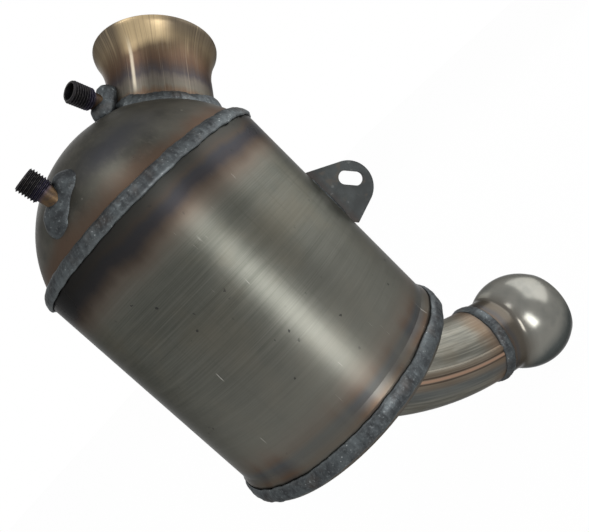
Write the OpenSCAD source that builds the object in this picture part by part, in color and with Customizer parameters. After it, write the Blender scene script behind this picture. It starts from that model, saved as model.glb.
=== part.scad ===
// Diesel particulate filter: a welded stainless canister round a wall-flow ceramic filter block.
// The sub-parts are drawn with the canister's axis on Z, the inlet upwards and Z = 0 at the weld
// between canister and inlet cone; the neck leans towards +X. Each is then shifted so that the
// part's origin lies on the inlet neck's axis, where its bore opens into the bell.

/* [Canister] */
// Outside diameter of the canister
canister_d = 165; // [150:1:185]
// Length of the canister tube
canister_l = 165; // [155:1:220]
// Sheet thickness of canister, cone, cover and pipes
sheet_t = 1.5; // [1:0.1:2.5]
// Distance of the canister's inlet edge below the middle of its weld
edge_drop = 3; // [1:0.5:5]
// Widening of the canister's outlet end, on the radius
end_swell = 1.2; // [0.4:0.1:3]
// Length of the widened end
end_swell_l = 9; // [6:0.5:12]
// Length of the cone that leads into the widened end
end_taper_l = 5; // [3:0.5:10]

/* [Inlet cone] */
// Height of the domed cone above the top of its skirt
dome_rise = 64; // [55:1:75]
// Top of the cone's skirt below the weld
skirt_drop = 7.5; // [5:0.5:10]
// Length of the skirt that slides into the canister
skirt_l = 6; // [3:0.5:10]
// Height above the weld at which the cone starts to rise to the neck
blend_z = 3; // [2:0.5:6]
// Height of the cone's ridge above the dome, on the neck's axis
ridge_rise = 1; // [0.5:0.5:5]
// Radius of the ridge that leads up to the neck
ridge_r = 62; // [50:1:75]
// Slope of the ridge against the neck's square section
ridge_pitch = 4.5; // [0:0.5:10]
// Distance of the ridge's edge inside the neck's outer wall
ridge_inset = 0.8; // [0.4:0.1:1.2]

/* [Inlet neck] */
// Outside diameter of the neck
neck_d = 69; // [56:1:72]
// Lean of the neck from the canister's axis
neck_lean = 41; // [32:0.5:44]
// Depth below the weld at which the neck's axis meets the canister's axis
neck_drop = 23.5; // [18:0.5:36]
// Length of the neck and its bell beyond the dome
neck_l = 47; // [44:0.5:60]
// Depth of the neck's lower end below the dome
neck_depth = 14; // [12:0.5:20]
// Outside diameter of the bell's rim
bell_d = 82; // [76:0.5:92]
// Length of the bell
bell_l = 25; // [20:0.5:29]
// Radius of the rolled lip on the bell's rim
lip_r = 8; // [4:0.5:14]

/* [Threaded stubs] */
// Thread diameter of both stubs
thread_d = 14; // [12:1:18]
// Diameter of the plain shank
shank_d = 10.5; // [9:0.5:11.5]
// Diameter of the seat bored in the threaded end
seat_d = 10; // [8:0.5:10.5]
// Depth of that seat
seat_l = 7; // [4:0.5:9]
// Diameter of the passage through the stub
passage_d = 6; // [4:0.5:7]
// Chamfer on the thread's end
thread_chamfer = 1; // [0.5:0.1:1.5]
// Thread length of the upper stub
upper_thread_l = 13.5; // [10:0.5:18]
// Length of the upper stub from its inner end
upper_stub_l = 28.5; // [26:0.5:39]
// Direction of the upper stub round the neck
upper_clock = 206.5; // [195:0.5:215]
// Height of the upper stub below the dome's crossing, along the neck
upper_drop = 1; // [0:0.2:5]
// Sideways shift of the upper stub from the neck's axis
upper_side = 8; // [0:0.5:12]
// Lift of the upper stub from square to the neck
upper_lift = 3.5; // [0:0.5:12]
// Depth of the upper stub's inner end in the neck's wall, clear of its bore
upper_depth = 1; // [0.5:0.1:1.2]
// Thread length of the lower stub
lower_thread_l = 11; // [9:0.5:16]
// Length of the lower stub beyond the dome
lower_reach = 19.5; // [16:0.5:28]
// Direction of the lower stub round the canister
lower_turn = 220; // [208:0.5:232]
// Place of the lower stub down the dome, from the canister's axis
lower_polar = 51.5; // [46:0.5:58]
// Lean of the lower stub from the canister's axis
lower_lean = 19; // [10:1:30]
// Depth of the stubs inside the cone
stub_depth = 6; // [5:0.5:9]

/* [Outlet cover] */
// Length of the cover's skirt over the canister
cover_skirt_l = 3; // [2:0.5:5]
// Corner radius between skirt and dished end
knuckle_r = 5; // [4:0.5:12]
// Radius of the dished end
crown_r = 200; // [150:5:300]

/* [Outlet pipe] */
// Outside diameter of the outlet pipe
pipe_d = 56; // [48:1:60]
// Direction of the outlet round the canister
outlet_turn = -12; // [-30:1:0]
// Distance of the pipe from the canister's axis where it leaves the cover
pipe_offset = 26.1; // [18:0.1:32]
// Slope of the pipe below square to the canister where it leaves the cover
pipe_slope = 45.4; // [40:0.1:50]
// Bend radius of the pipe
bend_r = 200; // [150:1:260]
// Angle of the bend outside the cover
bend_angle = 23.5; // [16:0.5:28]
// Width of the pipe's long seam
seam_w = 4.4; // [3:0.2:6]
// Height of the pipe's long seam
seam_h = 0.8; // [0.5:0.1:1.5]

/* [Outlet ball] */
// Outside diameter of the ball
ball_d = 71.4; // [66:0.2:80]
// Distance of the ball's middle from its weld
ball_reach = 39.6; // [37:0.2:50]
// Fillet between neck and ball
ball_fillet = 8; // [4:0.5:12]
// Outside diameter of the ball's open mouth
mouth_d = 58; // [50:0.5:62]

/* [Mounting bracket] */
// Thickness of the bracket plate
plate_t = 3; // [2:0.5:5]
// Direction of the bracket round the canister
bracket_turn = -27; // [-45:1:-15]
// Start of the bracket below the inlet weld
bracket_drop = 53.4; // [45:0.2:65]
// Length of the bracket's foot along the canister
foot_l = 44; // [36:1:60]
// Distance of the tip's middle from the canister's wall
tip_reach = 14.5; // [12:0.5:25]
// Distance of the tip's middle below the bracket's start
tip_drop = 26.6; // [20:0.2:32]
// Radius of the bracket's tip
tip_r = 17; // [14:0.5:20]
// Width of the slot
slot_w = 9.2; // [7:0.2:11]
// Length of the slot between its end centres
slot_l = 7.3; // [5:0.1:10]
// Slope of the slot below square to the canister
slot_slope = 50; // [30:1:70]
// Shift of the slot from the tip's middle, outwards
slot_shift = 5.4; // [3:0.2:6]
// Shift of the slot from the tip's middle, towards the inlet
slot_lift = 2.7; // [0:0.1:4]
// Distance that the bracket's lower corner stands off the canister
corner_gap = 3; // [1:0.5:6]
// Drop of that corner below the foot
corner_drop = 4; // [2:0.5:6]

/* [Filter block] */
// Length of the filter block
block_l = 132; // [110:1:136]
// Distance of the block's inlet face below the weld
block_drop = 18; // [15:0.5:22]
// Thickness of the support mat
mat_t = 5; // [4:0.5:8]
// Height of the wire rings that guard the mat's edges
ring_h = 8; // [5:0.5:14]
// Thickness of the cement skin and half the cement joints
cement_t = 1; // [0.6:0.1:1.6]
// Segments across the block
segments = 4; // [3:1:5]
// Channels across a segment
channels = 4; // [3:1:5]
// Wall between channels
wall_t = 1.8; // [1.2:0.1:2.4]
// Depth of the plug at a channel's closed end
plug_l = 8; // [4:1:14]

/* [Welds] */
// Radius of the round beads
bead_r = 4; // [3.2:0.2:5]
// Radius of the bead round the neck
neck_bead_r = 5.5; // [4:0.5:6]
// Depth of that bead's middle below the cone
neck_bead_sink = 1.7; // [0:0.1:2.5]
// Half the angle that the upper stub's lump takes out of it
neck_bead_gap = 14; // [11:0.5:18]
// Height of the ball's bead above the pipe
ball_bead_h = 1.6; // [1:0.1:2.4]
// Height of the inlet edge's bead above the canister
edge_bead_h = 0.8; // [0.4:0.1:2]
// Width of the flat bead on the outlet cover
bead_w = 8; // [6:0.5:9]
// Height of that flat bead above the cover
flat_bead_h = 1.1; // [0.6:0.1:2]
// Leg of the fillet welds on bracket and outlet pipe
fillet_leg = 4; // [2.5:0.5:6]
// Height of the canister's long seam
shell_seam_h = 0.7; // [0.4:0.1:1.2]
// Width of the canister's long seam
shell_seam_w = 5; // [3:0.5:8]
// Direction of that seam round the canister
shell_seam_turn = 78; // [40:1:120]
// Height of the lumps that hold the stubs
lump_h = 5; // [3:0.2:7]
// Radius of those lumps
lump_r = 7; // [6.6:0.2:9]
// Distance between the ends of the lower stub's lump
lower_lump_l = 18; // [8:0.5:22]
// Slope of that lump on the dome
lower_lump_tilt = 46; // [0:1:80]
// Height between the ends of the upper stub's lump, along the neck
upper_lump_l = 13; // [6:0.5:16]
// Distance between its ends, outwards from the neck
upper_lump_reach = 4; // [2:0.5:8]
// Distance of its middle from the neck
upper_lump_out = 3.5; // [2:0.5:5]
// Height of its middle above the stub
upper_lump_lift = 1.2; // [0:0.2:3]

/* [Hidden] */
$fn = 96;
// Facets round blended shapes and round weld lumps
blend_fn = 56;
lump_fn = 28;
// Points along the neck's bead
bead_steps = 60;
// Overrun of a cutting shape
over = 1;
steel = [0.55, 0.54, 0.51];
tinted_steel = [0.42, 0.38, 0.33];
dark_steel = [0.22, 0.2, 0.2];
weld_grey = [0.33, 0.36, 0.39];
ceramic_grey = [0.3, 0.3, 0.31];
cement_grey = [0.5, 0.5, 0.48];
mat_white = [0.86, 0.85, 0.8];

canister_r = canister_d / 2;
canister_ri = canister_r - sheet_t;
end_r = canister_r + end_swell;
canister_end = -edge_drop - canister_l;

// Dome: a cap that rises from the skirt's top edge
skirt_z = -skirt_drop;
dome_r = (canister_ri * canister_ri + dome_rise * dome_rise) / (2 * dome_rise);
dome_z = skirt_z + dome_rise - dome_r;

// Neck: stations along its axis are counted from where it meets the canister's axis
neck_r = neck_d / 2;
neck_offset = dome_z + neck_drop;
crossing_s = neck_offset * cos(neck_lean)
    + sqrt(dome_r * dome_r - pow(neck_offset * sin(neck_lean), 2));
ridge_s = crossing_s + ridge_rise;
rim_s = crossing_s + neck_l;
bore_s = rim_s - bell_l;
inlet_seat = [0, 0, -neck_drop] + bore_s * polar(0, neck_lean);
bell_swell = bell_d / 2 - neck_r;
bell_arc_r = (bell_l * bell_l + bell_swell * bell_swell) / (2 * bell_swell) - lip_r;
bell_arc_a = asin(bell_l / (bell_arc_r + lip_r));

// Outlet cover: skirt, knuckle and crown, all tangent
cover_r = end_r + sheet_t;
crown_z = canister_end + sqrt(pow(crown_r - knuckle_r, 2) - pow(cover_r - knuckle_r, 2));

// Outlet pipe: one bend that starts inside the cover, in the outlet's own plane
pipe_r = pipe_d / 2;
pipe_z = crown_z - sqrt(crown_r * crown_r - pipe_offset * pipe_offset);
entry_angle = 2 * asin(pipe_r / bend_r);
end_slope = pipe_slope - bend_angle;
bend_centre = [pipe_offset, pipe_z] + bend_r * [sin(pipe_slope), cos(pipe_slope)];
pipe_end = bend_centre - bend_r * [sin(end_slope), cos(end_slope)];

ball_r = ball_d / 2;
mouth_s = ball_reach + sqrt(ball_r * ball_r - mouth_d * mouth_d / 4);
fillet_s = ball_reach - sqrt(pow(ball_r + ball_fillet, 2) - pow(pipe_r + ball_fillet, 2));
fillet_a = asin((ball_reach - fillet_s) / (ball_r + ball_fillet));

thread_r = thread_d / 2;
shank_r = shank_d / 2;
upper_s = crossing_s - upper_drop;
upper_inner = neck_r - upper_depth;
lower_base = dome_point(lower_turn, lower_polar);

block_r = canister_ri - mat_t;
block_top = -block_drop;
block_end = block_top - block_l;
segment_pitch = 2 * (block_r - cement_t) / segments;
segment_w = segment_pitch - 2 * cement_t;
channel_pitch = (segment_w - wall_t) / channels;
channel_w = channel_pitch - wall_t;
channel_limit = block_r - cement_t - wall_t;

seam_r = seam_w * seam_w / (8 * seam_h) + seam_h / 2;
shell_seam_r = shell_seam_w * shell_seam_w / (8 * shell_seam_h) + shell_seam_h / 2;

bracket_top = [canister_r, -bracket_drop];
bracket_tip = [canister_r + tip_reach, -bracket_drop - tip_drop];
bracket_corner = [canister_r + corner_gap, -bracket_drop - foot_l - corner_drop];
bracket_foot = [canister_r, -bracket_drop - foot_l];

function polar(turn, lean) = [sin(lean) * cos(turn), sin(lean) * sin(turn), cos(lean)];
function unit(v) = v / norm(v);
function arc(centre, r, from, to, steps = 12) =
    [for (i = [0:steps]) let (a = from + (to - from) * i / steps) centre + r * [cos(a), sin(a)]];
// Point where a line from p touches a circle, on its right-hand (side = -1) or left-hand (side = 1) side
function touch(p, centre, r, side) =
    let (to = p - centre, a = atan2(to[1], to[0]) + side * acos(r / norm(to)))
    centre + r * [cos(a), sin(a)];
// Place of a grid's cell counted from the grid's middle
function grid(i, count, pitch) = (i - (count - 1) / 2) * pitch;
// Height of the ridge over a point beside the neck's axis
function ridge_height(x, y) =
    ridge_s + (sqrt(ridge_r * ridge_r - y * y) + x * sin(ridge_pitch)) / cos(ridge_pitch)
    - ridge_r / cos(ridge_pitch);
// Height of the dome over the same point
function dome_height(x, y) =
    neck_offset * cos(neck_lean)
    + sqrt(dome_r * dome_r - pow(x + neck_offset * sin(neck_lean), 2) - y * y);
// Point of the dome, or of a shell round it, by its direction from the dome's middle
function dome_point(turn, lean, out = 0) =
    [0, 0, dome_z] + (dome_r + out) * polar(turn, lean);

module from_seat() translate(-inlet_seat) children();

// Space that the canister takes up, for what is welded onto its outside
module canister_space() translate([0, 0, -canister_l]) cylinder(r = canister_r, h = canister_l, $fn = 4 * $fn);

module neck_frame() translate([0, 0, -neck_drop]) rotate([0, neck_lean, 0]) children();

module neck_rod(r) neck_frame() translate([0, 0, ridge_s / 2]) cylinder(r = r, h = rim_s);

module ridge_rod(r)
    neck_frame() translate([0, 0, ridge_s - ridge_r / cos(ridge_pitch)]) rotate([0, 90 - ridge_pitch, 0])
        cylinder(r = r, h = 3 * neck_d, center = true);

module outlet_plane() rotate([0, 0, outlet_turn]) rotate([90, 0, 0]) children();

module outlet_end_frame()
    outlet_plane() translate(pipe_end) rotate([0, 0, -end_slope]) rotate([0, 90, 0]) children();

module upper_frame()
    neck_frame() rotate([0, 0, upper_clock]) translate([upper_inner, -upper_side, upper_s])
        rotate([0, 90 - upper_lift, 0]) children();

// Hole for the upper stub, right through the wall that carries it
module upper_hole() upper_frame() translate([0, 0, -shank_d]) cylinder(r = shank_r, h = upper_stub_l + shank_d);

module lower_frame()
    translate(lower_base) rotate([0, 0, lower_turn]) rotate([0, lower_lean, 0]) children();

// Round bead along an open path of points; its section turns with the path about the points' middle
module path_bead(points, r, sides = 12) {
    count = len(points);
    middle = [for (k = [0:2]) [for (p = points) p[k]] * [for (p = points) 1] / count];
    rings = [for (i = [0:count - 1])
        let (along = unit(points[min(i + 1, count - 1)] - points[max(i - 1, 0)]),
            out = unit((points[i] - middle) - along * ((points[i] - middle) * along)),
            side = cross(along, out))
        [for (j = [0:sides - 1])
            let (a = 360 * (j + 0.5) / sides)
            points[i] + r * (cos(a) * out + sin(a) * side)]];
    walls = [for (i = [0:count - 2], j = [0:sides - 1])
        let (a = i * sides, b = a + sides, k = (j + 1) % sides)
        each [[a + j, b + j, b + k], [a + j, b + k, a + k]]];
    caps = [[for (j = [0:sides - 1]) j], [for (j = [0:sides - 1]) count * sides - 1 - j]];
    polyhedron([for (ring = rings) each ring], concat(walls, caps));
}

// Dome with the ridge that carries the neck, drawn in by a wall thickness for its inside
module cone_body(inset) {
    reach = 2 * canister_d;
    hull() {
        intersection() {
            translate([0, 0, dome_z]) sphere(dome_r - inset, $fn = blend_fn);
            translate([-reach / 2, -reach / 2, blend_z]) cube(reach);
        }
        intersection() {
            neck_rod(neck_r - ridge_inset - inset, $fn = blend_fn);
            ridge_rod(ridge_r - inset, $fn = blend_fn);
            neck_frame() translate([-reach / 2, -reach / 2, ridge_s - ridge_r / 2]) cube(reach);
        }
    }
    rotate_extrude() cone_foot(inset);
}

// Half section of the cone below the blend: the dome's lowest zone and the skirt
module cone_foot(inset) {
    r = dome_r - inset;
    foot_z = skirt_z - skirt_l - (inset > 0 ? over : 0);
    zone = arc([0, dome_z], r, asin((skirt_z - dome_z) / r), asin((blend_z - dome_z) / r), 4);
    polygon(concat([[0, foot_z], [zone[0][0], foot_z]], zone, [[0, blend_z]]));
}

module canister_shell() color(steel) from_seat() rotate_extrude() difference() {
    canister_half(canister_r, 0);
    canister_half(canister_ri, over);
}

module canister_half(r, past) polygon([
    [0, canister_end - past], [r + end_swell, canister_end - past],
    [r + end_swell, canister_end + end_swell_l], [r, canister_end + end_swell_l + end_taper_l],
    [r, past - edge_drop], [0, past - edge_drop]]);

module canister_seam_weld() color(weld_grey) from_seat() {
    seam_end = canister_end + end_swell_l + end_taper_l;
    seam_start = -edge_drop - bead_r;
    rotate([0, 0, shell_seam_turn]) difference() {
        translate([canister_r + shell_seam_h - shell_seam_r, 0, seam_end])
            cylinder(r = shell_seam_r, h = seam_start - seam_end);
        canister_space();
    }
}

module inlet_cone() color(tinted_steel) from_seat() difference() {
    cone_body(0);
    cone_body(sheet_t);
    neck_rod(neck_r);
    upper_hole();
    lower_frame() cylinder(r = shank_r, h = 2 * lower_reach, center = true);
}

// Bead in the corner between the canister's edge and the dome
module inlet_shell_weld() color(weld_grey) from_seat() rotate_extrude() difference() {
    translate([canister_r + edge_bead_h - bead_r, -edge_drop / 3]) circle(bead_r);
    translate([0, dome_z]) circle(dome_r);
    translate([0, -edge_drop - canister_l]) square([canister_r, canister_l]);
}

module bell_half(inset) {
    swell_in = arc([neck_r + bell_arc_r, bore_s], bell_arc_r + inset, 180, 180 - bell_arc_a);
    swell_out = arc([bell_d / 2 - lip_r, rim_s], lip_r - inset, -bell_arc_a, 0);
    start_s = crossing_s - neck_depth;
    past = inset > 0 ? over : 0;
    polygon(concat([[0, start_s - past], [neck_r - inset, start_s - past]], swell_in, swell_out,
        [[bell_d / 2 - inset, rim_s + past], [0, rim_s + past]]));
}

module inlet_bell() color(tinted_steel) from_seat() difference() {
    neck_frame() rotate_extrude() difference() {
        bell_half(0);
        bell_half(sheet_t);
    }
    upper_hole();
}

module inlet_neck_weld() color(weld_grey) from_seat() {
    lump_clock = upper_clock - asin(upper_side / neck_r);
    path = [for (i = [0:bead_steps])
        let (a = lump_clock + neck_bead_gap + (360 - 2 * neck_bead_gap) * i / bead_steps,
            x = neck_r * cos(a), y = neck_r * sin(a))
        [x, y, max(ridge_height(x, y), dome_height(x, y)) - neck_bead_sink]];
    difference() {
        neck_frame() path_bead(path, neck_bead_r);
        neck_rod(neck_r);
        cone_body(0);
    }
}

// Turned stub along Z: plain shank, then thread diameter with a chamfered end and a bored seat
module stub(total_l, thread_l) {
    rotate_extrude() difference() {
        polygon([[0, 0], [shank_r, 0], [shank_r, total_l - thread_l],
            [thread_r - thread_chamfer, total_l - thread_l], [thread_r, total_l - thread_l + thread_chamfer],
            [thread_r, total_l - thread_chamfer], [thread_r - thread_chamfer, total_l], [0, total_l]]);
        translate([0, -over]) square([passage_d / 2, total_l + 2 * over]);
        translate([0, total_l - seat_l]) square([seat_d / 2, seat_l + over]);
    }
}

module upper_stub() color(dark_steel) from_seat() upper_frame() stub(upper_stub_l, upper_thread_l);

module lower_stub() color(dark_steel) from_seat()
    lower_frame() translate([0, 0, -stub_depth]) stub(lower_reach + stub_depth, lower_thread_l);

// Lump of weld metal between two ends that lie under the surface
module weld_lump(from, to) hull() {
    translate(from) sphere(lump_r, $fn = lump_fn);
    translate(to) sphere(lump_r, $fn = lump_fn);
}

module upper_stub_weld() color(weld_grey) from_seat() {
    difference() {
        neck_frame() rotate([0, 0, upper_clock])
            translate([neck_r + upper_lump_out, -upper_side, upper_s + upper_lump_lift])
                weld_lump([-upper_lump_reach, 0, upper_lump_l] / 2, [upper_lump_reach, 0, -upper_lump_l] / 2);
        neck_rod(neck_r);
        cone_body(0);
        upper_hole();
    }
}

module lower_stub_weld() color(weld_grey) from_seat() {
    out = lump_h - lump_r;
    spread = lower_lump_l / 2 / dome_r * 180 / PI;
    round_dome = spread * cos(lower_lump_tilt) / sin(lower_polar);
    down_dome = spread * sin(lower_lump_tilt);
    difference() {
        weld_lump(
            dome_point(lower_turn - round_dome, lower_polar + down_dome, out),
            dome_point(lower_turn + round_dome, lower_polar - down_dome, out));
        cone_body(0);
        lower_frame() cylinder(r = shank_r, h = 4 * lower_reach, center = true);
    }
}

// Ball that the dished end is a cap of
module crown_ball(r) translate([0, 0, crown_z]) sphere(r);

// Dished cover filled up to its top edge, drawn in by a wall thickness for its inside
module cover_body(inset) {
    top = canister_end + cover_skirt_l + (inset > 0 ? over : 0);
    corner = arc([cover_r - knuckle_r, canister_end], knuckle_r - inset, 0, -45, 6);
    corner_end = corner[len(corner) - 1];
    intersection() {
        rotate_extrude() polygon(concat([[0, top], [cover_r - inset, top]], corner,
            [corner_end - [corner_end[0], corner_end[0]]]));
        crown_ball(crown_r - inset);
    }
}

// Section of the pipe with its long seam on the side that +Y of the section points to
module pipe_section(bore_r) difference() {
    union() {
        circle(pipe_r);
        translate([0, pipe_r + seam_h - seam_r]) circle(seam_r);
    }
    circle(bore_r);
}

// Section swept round the pipe's bend, in the outlet's plane
module along_bend() outlet_plane() translate(bend_centre)
    rotate([0, 0, 270 - pipe_slope - entry_angle]) rotate_extrude(angle = entry_angle + bend_angle)
        translate([bend_r, 0]) children();

// The pipe's run, solid where the bore is left out
module pipe_run(bore_r = 0) along_bend() pipe_section(bore_r);

module outlet_cover() color(steel) from_seat() difference() {
    cover_body(0);
    cover_body(sheet_t);
    pipe_run();
}

module outlet_shell_weld() color(weld_grey) from_seat() rotate_extrude() difference() {
    translate([end_r, canister_end + cover_skirt_l]) intersection() {
        circle(bead_w / 2);
        translate([0, -bead_w / 2]) square([sheet_t + flat_bead_h, bead_w]);
    }
    translate([0, canister_end]) square([end_r, canister_l]);
    translate([0, canister_end - over]) square([cover_r, cover_skirt_l + over]);
}

// The pipe ends flush with the inside of the cover
module outlet_pipe() color(steel) from_seat() difference() {
    pipe_run(pipe_r - sheet_t);
    crown_ball(crown_r - sheet_t);
}

module outlet_pipe_weld() color(weld_grey) from_seat() difference() {
    intersection() {
        along_bend() circle(pipe_r + fillet_leg);
        crown_ball(crown_r + fillet_leg);
    }
    pipe_run();
    crown_ball(crown_r);
}

module ball_half(inset) {
    past = inset > 0 ? over : 0;
    fillet = arc([pipe_r + ball_fillet, fillet_s], ball_fillet + inset, 180, 180 - fillet_a, 8);
    ball = arc([0, ball_reach], ball_r - inset, -fillet_a, asin((mouth_s - ball_reach) / (ball_r - inset)), 24);
    polygon(concat([[0, -past], [pipe_r - inset, -past]], fillet, ball,
        [ball[len(ball) - 1] + [0, past], [0, mouth_s + past]]));
}

module outlet_ball() color(steel) from_seat() outlet_end_frame() rotate_extrude() difference() {
    ball_half(0);
    ball_half(sheet_t);
}

module outlet_ball_weld() color(weld_grey) from_seat() difference() {
    outlet_end_frame() rotate_extrude() difference() {
        translate([pipe_r + ball_bead_h - bead_r, 0]) circle(bead_r);
        square([pipe_r, 2 * bead_r]);
    }
    pipe_run();
}

// Outline of the bracket without its round tip: straight edges that touch the tip's circle
module bracket_outline() polygon([
    bracket_top - [plate_t, 0], bracket_top, touch(bracket_top, bracket_tip, tip_r, -1),
    touch(bracket_corner, bracket_tip, tip_r, 1), bracket_corner, bracket_foot,
    bracket_foot - [plate_t, 0]]);

module bracket_slot() translate(bracket_tip + [slot_shift, slot_lift]) rotate(-slot_slope) {
    cube([slot_l, slot_w, 2 * plate_t], center = true);
    for (end = [-1, 1]) translate([end * slot_l / 2, 0]) cylinder(d = slot_w, h = 2 * plate_t, center = true);
}

module mounting_bracket() color(dark_steel) from_seat() difference() {
    rotate([0, 0, bracket_turn]) rotate([90, 0, 0]) difference() {
        union() {
            linear_extrude(plate_t, center = true) bracket_outline();
            translate(bracket_tip) cylinder(r = tip_r, h = plate_t, center = true);
        }
        bracket_slot();
    }
    canister_space();
}

module bracket_welds() color(weld_grey) from_seat() difference() {
    rotate([0, 0, bracket_turn]) for (side = [0, 1]) mirror([0, side, 0])
        translate([canister_r, plate_t / 2, bracket_foot[1] + fillet_leg])
            linear_extrude(foot_l - 2 * fillet_leg)
                polygon([[-plate_t, 0], [fillet_leg, 0], [0, fillet_leg], [-plate_t, fillet_leg]]);
    canister_space();
}

// Section of one segment, cut round where it meets the block's skin
module segment_section(column, row) intersection() {
    translate([grid(column, segments, segment_pitch), grid(row, segments, segment_pitch)])
        square(segment_w, center = true);
    circle(block_r - cement_t);
}

// Channels of one segment: neighbours are closed at opposite ends, as a wall-flow filter needs
module segment_channels(column, row) {
    depth = block_l - plug_l + over;
    for (i = [0:channels - 1], j = [0:channels - 1]) {
        x = grid(column, segments, segment_pitch) + grid(i, channels, channel_pitch);
        y = grid(row, segments, segment_pitch) + grid(j, channels, channel_pitch);
        from_inlet = (i + j + channels * (column + row)) % 2 == 0;
        if (norm([abs(x) + channel_w / 2, abs(y) + channel_w / 2]) < channel_limit)
            translate([x - channel_w / 2, y - channel_w / 2, from_inlet ? block_end + plug_l : block_end - over])
                cube([channel_w, channel_w, depth]);
    }
}

module filter_segments() color(ceramic_grey) from_seat()
    for (column = [0:segments - 1], row = [0:segments - 1]) difference() {
        translate([0, 0, block_end]) linear_extrude(block_l) segment_section(column, row);
        segment_channels(column, row);
    }

module segment_cement() color(cement_grey) from_seat() translate([0, 0, block_end])
    linear_extrude(block_l) difference() {
        circle(block_r);
        for (column = [0:segments - 1], row = [0:segments - 1]) segment_section(column, row);
    }

module support_mat() color(mat_white) from_seat() translate([0, 0, block_end + ring_h]) difference() {
    cylinder(r = canister_ri, h = block_l - 2 * ring_h);
    translate([0, 0, -over]) cylinder(r = block_r, h = block_l);
}

// Half section of a wire ring with its rounded side up, on the end of the mat
module wire_ring_half() translate([block_r, 0]) {
    square([mat_t, ring_h - mat_t / 2]);
    translate([mat_t / 2, ring_h - mat_t / 2]) circle(mat_t / 2);
}

module inlet_wire_ring() color(steel) from_seat()
    translate([0, 0, block_top - ring_h]) rotate_extrude() wire_ring_half();

module outlet_wire_ring() color(steel) from_seat()
    translate([0, 0, block_end + ring_h]) mirror([0, 0, 1]) rotate_extrude() wire_ring_half();

canister_shell();
canister_seam_weld();
inlet_cone();
inlet_shell_weld();
inlet_bell();
inlet_neck_weld();
upper_stub();
upper_stub_weld();
lower_stub();
lower_stub_weld();
outlet_cover();
outlet_shell_weld();
outlet_pipe();
outlet_pipe_weld();
outlet_ball();
outlet_ball_weld();
mounting_bracket();
bracket_welds();
filter_segments();
segment_cement();
support_mat();
inlet_wire_ring();
outlet_wire_ring();
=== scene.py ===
from math import acos, asin, atan2, cos, degrees, pi, radians, sin, sqrt

import bmesh
import bpy
from mathutils import Matrix, Vector, noise
from mathutils.bvhtree import BVHTree


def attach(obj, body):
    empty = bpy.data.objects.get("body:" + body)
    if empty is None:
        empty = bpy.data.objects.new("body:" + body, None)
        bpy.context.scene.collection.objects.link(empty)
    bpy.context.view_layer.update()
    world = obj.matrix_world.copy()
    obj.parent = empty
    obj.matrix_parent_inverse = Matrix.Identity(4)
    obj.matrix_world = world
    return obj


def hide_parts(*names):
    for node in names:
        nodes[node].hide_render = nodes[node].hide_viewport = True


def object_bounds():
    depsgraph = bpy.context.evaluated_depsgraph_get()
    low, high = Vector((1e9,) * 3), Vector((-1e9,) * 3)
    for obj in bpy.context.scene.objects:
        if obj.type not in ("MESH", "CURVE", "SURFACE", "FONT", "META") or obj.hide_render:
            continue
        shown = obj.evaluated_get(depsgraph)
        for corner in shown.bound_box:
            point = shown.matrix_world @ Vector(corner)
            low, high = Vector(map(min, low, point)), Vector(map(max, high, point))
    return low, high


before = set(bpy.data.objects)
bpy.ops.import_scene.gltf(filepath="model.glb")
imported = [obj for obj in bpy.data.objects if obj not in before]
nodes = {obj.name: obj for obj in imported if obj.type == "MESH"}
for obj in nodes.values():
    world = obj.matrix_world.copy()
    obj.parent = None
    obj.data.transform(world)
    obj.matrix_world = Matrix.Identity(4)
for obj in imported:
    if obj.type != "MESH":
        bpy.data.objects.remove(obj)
cadLow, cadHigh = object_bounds()
print("frame loaded:", len(nodes), "nodes")

# Sizes are in mm in the drawing's frame: canister axis on Z, Z = 0 at the inlet weld, neck leaning to +X.
seat = Vector((67.4243, 0, 54.0628))
mm = 0.001


def toFrame(p):
    return (Vector(p) - seat) * mm


def polar(turn, lean):
    t, a = radians(turn), radians(lean)
    return Vector((sin(a) * cos(t), sin(a) * sin(t), cos(a)))


def mix(a, b, t):
    return a + (b - a) * t


def arc(centre, r, start, end, steps):
    turns = [radians(mix(start, end, i / steps)) for i in range(steps + 1)]
    return [(centre[0] + r * cos(t), centre[1] + r * sin(t)) for t in turns]


def rough(p, size):  # smooth unevenness from -1 to 1, waves about size mm long
    return noise.noise(Vector(p) / size)


canister = {"radius": 82.5, "end": -168.0}
dome = {"radius": 83.2578, "z": -26.7578, "base": 3.0,
        "skirtTop": -7.5, "skirtEnd": -13.5, "skirtRadius": 81.0}
neck = {"lean": 41, "drop": 23.5, "radius": 34.5, "crossing": 80.7717, "ridge": 81.7717, "ridgeRadius": 62,
        "ridgePitch": 4.5, "ridgeEdge": 33.7, "rim": 127.772, "bore": 102.772, "foot": 66.77}
outlet = {"turn": -12, "pipeRadius": 28.0, "bendRadius": 200.0, "centre": (168.51, -48.11),
          "end": (93.91, -233.68), "endSlope": 21.9, "crownRadius": 200.0, "crownZ": 9.744}
sheet = 1.5

upward, eastward = Vector((0, 0, 1)), Vector((1, 0, 0))
domeMiddle = Vector((0, 0, dome["z"]))
neckAxis = polar(0, neck["lean"])
neckAcross = Vector((neckAxis.z, 0, -neckAxis.x))
neckFoot = Vector((0, 0, -neck["drop"]))
outletTurn = radians(outlet["turn"])
outletOut = Vector((cos(outletTurn), sin(outletTurn), 0))
outletSide = Vector((sin(outletTurn), -cos(outletTurn), 0))  # where the pipe has its long seam
endSlope = radians(outlet["endSlope"])
endAxis = outletOut * cos(endSlope) - Vector((0, 0, sin(endSlope)))
pipeEnd = outletOut * outlet["end"][0] + Vector((0, 0, outlet["end"][1]))
bendCentre = outletOut * outlet["centre"][0] + Vector((0, 0, outlet["centre"][1]))


def neckPoint(x, y, s):
    return neckFoot + neckAcross * x + Vector((0, y, 0)) + neckAxis * s


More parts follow.
